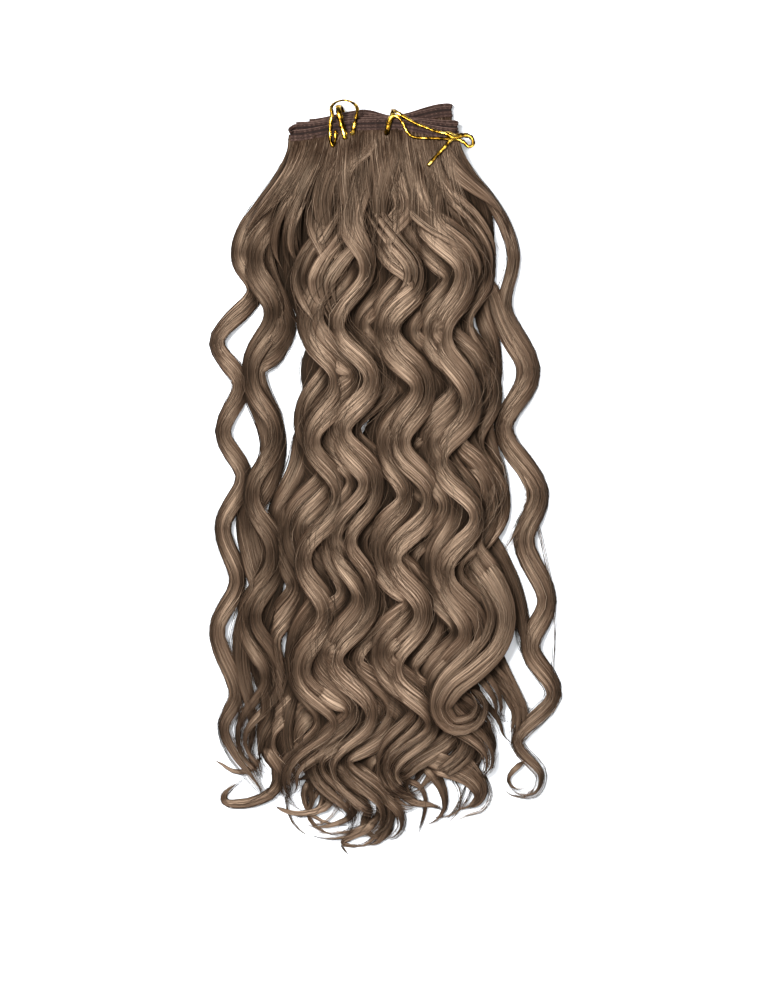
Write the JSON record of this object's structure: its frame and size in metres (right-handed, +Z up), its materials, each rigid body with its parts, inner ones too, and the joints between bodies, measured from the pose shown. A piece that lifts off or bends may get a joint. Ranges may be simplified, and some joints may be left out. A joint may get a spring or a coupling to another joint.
{
  "type": "hair weft",
  "caption": "Long wavy hair weft lying flat: a stitched band folded into a stack, wavy brown locks hanging from it, and metallic twist ties round the folds.",
  "frame": {"origin": "bottom centre of the bounding box, on the surface that the bundle lies on", "axes": "+Y from the hair's tips towards the stitched band, +X across to the right as it is seen from above, +Z up"},
  "size_m": [0.2486, 0.5236, 0.0231],
  "materials": {
    "band_thread": "brown sewing thread over hair roots",
    "hair_fibre": "silky ash-brown fibre",
    "tie_foil": "crinkled gold metallised film over a wire"
  },
  "bodies": {
    "root": {"weft_band": "band_thread", "hair": "hair_fibre", "twist_tie_left": "tie_foil", "twist_tie_right": "tie_foil"}
  },
  "joints": []
}
